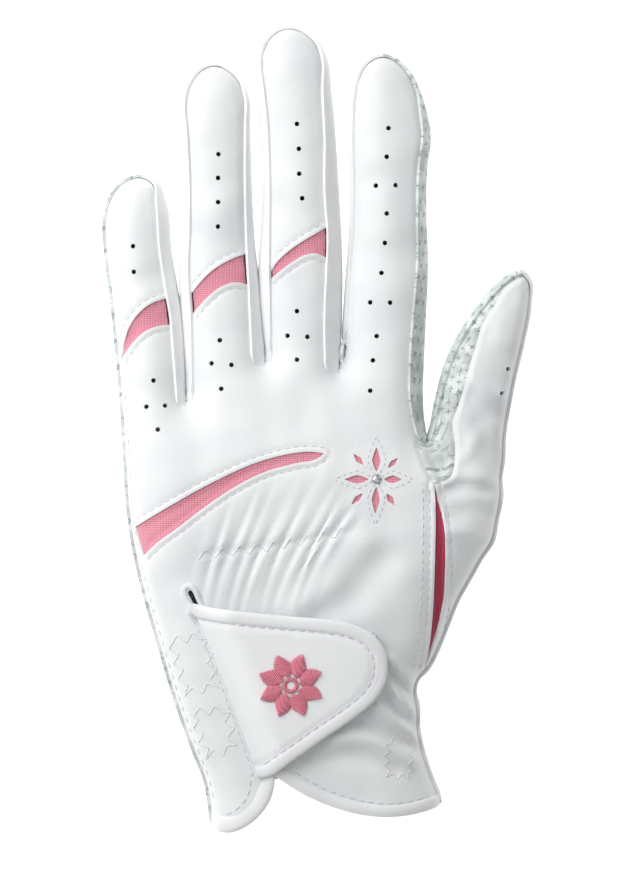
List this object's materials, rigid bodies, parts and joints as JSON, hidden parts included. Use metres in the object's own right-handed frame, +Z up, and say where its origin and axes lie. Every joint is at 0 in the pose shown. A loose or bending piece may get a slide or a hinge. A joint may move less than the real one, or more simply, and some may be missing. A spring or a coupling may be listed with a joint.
{
  "type": "golf glove",
  "caption": "Left-hand leather golf glove with stretch knit knuckle inserts, perforated fingers, a thumb gusset and a hook-and-loop wrist tab.",
  "frame": {"origin": "under the middle of the glove's bounding box, on the surface that the palm rests on", "axes": "+Y from the wrist to the middle fingertip, +X to the thumb side, +Z up through the back of the hand"},
  "size_m": [0.1127, 0.2127, 0.0282],
  "materials": {
    "back_leather": "semi-matt",
    "palm_leather": "matt, printed grain",
    "pink_knit": "matt",
    "gusset_knit": "matt",
    "edge_binding": "satin",
    "loop_tape": "matt",
    "hook_tape": "matt",
    "elastic": "matt",
    "embroidery": "satin",
    "crystal": "polished"
  },
  "bodies": {
    "hand": {"back_panel": "back_leather", "back_insert": "pink_knit", "flower_backing": "pink_knit", "flower_crystal": "crystal", "palm_panel": "palm_leather", "fourchette_ring_little": "back_leather", "fourchette_middle_ring": "back_leather", "fourchette_index_middle": "back_leather", "little_knuckle_insert": "pink_knit", "ring_knuckle_insert": "pink_knit", "middle_knuckle_insert": "pink_knit", "thumb_gusset": "gusset_knit", "thumb_heel_panel": "back_leather", "wrist_loop_patch": "loop_tape", "cuff_binding_little_side": "edge_binding", "cuff_binding_thumb_side": "edge_binding", "gather_elastic": "elastic", "heel_elastic": "elastic"},
    "little_tip": {"little_back_tip": "back_leather", "little_palm_tip": "palm_leather", "little_fourchette_by_ring": "back_leather"},
    "ring_tip": {"ring_back_tip": "back_leather", "ring_palm_tip": "palm_leather", "ring_fourchette_by_little": "back_leather", "ring_fourchette_by_middle": "back_leather"},
    "middle_tip": {"middle_back_tip": "back_leather", "middle_palm_tip": "palm_leather", "middle_fourchette_by_ring": "back_leather", "middle_fourchette_by_index": "back_leather"},
    "index_tip": {"index_back_tip": "back_leather", "index_palm_tip": "palm_leather", "index_fourchette_by_middle": "back_leather"},
    "thumb": {"thumb_back": "back_leather", "thumb_palm": "palm_leather"},
    "tab": {"tab_panel": "back_leather", "tab_binding": "edge_binding", "hook_patch": "hook_tape", "tab_emblem": "embroidery"}
  },
  "joints": [
    {"name": "little_knuckle", "type": "hinge", "parent": "hand", "child": "little_tip", "pos_m": [-0.0458, 0.027, 0], "axis": [-0.9972, -0.0749, 0], "range_deg": [0, 80]},
    {"name": "ring_knuckle", "type": "hinge", "parent": "hand", "child": "ring_tip", "pos_m": [-0.0264, 0.0385, 0], "axis": [-0.9993, -0.0361, 0], "range_deg": [0, 80]},
    {"name": "middle_knuckle", "type": "hinge", "parent": "hand", "child": "middle_tip", "pos_m": [-0.0048, 0.047, 0], "axis": [-0.9995, -0.032, 0], "range_deg": [0, 80]},
    {"name": "index_knuckle", "type": "hinge", "parent": "hand", "child": "index_tip", "pos_m": [0.0182, 0.042, 0], "axis": [-1, 0.005, 0], "range_deg": [0, 80]},
    {"name": "thumb_fold", "type": "hinge", "parent": "hand", "child": "thumb", "pos_m": [0.0386, -0.014, 0], "axis": [-1, 0, 0], "range_deg": [0, 45]},
    {"name": "tab_hinge", "type": "hinge", "parent": "hand", "child": "tab", "pos_m": [-0.0247, -0.0683, 0.0247], "axis": [0.3608, -0.9317, -0.0416], "range_deg": [0, 150]}
  ]
}
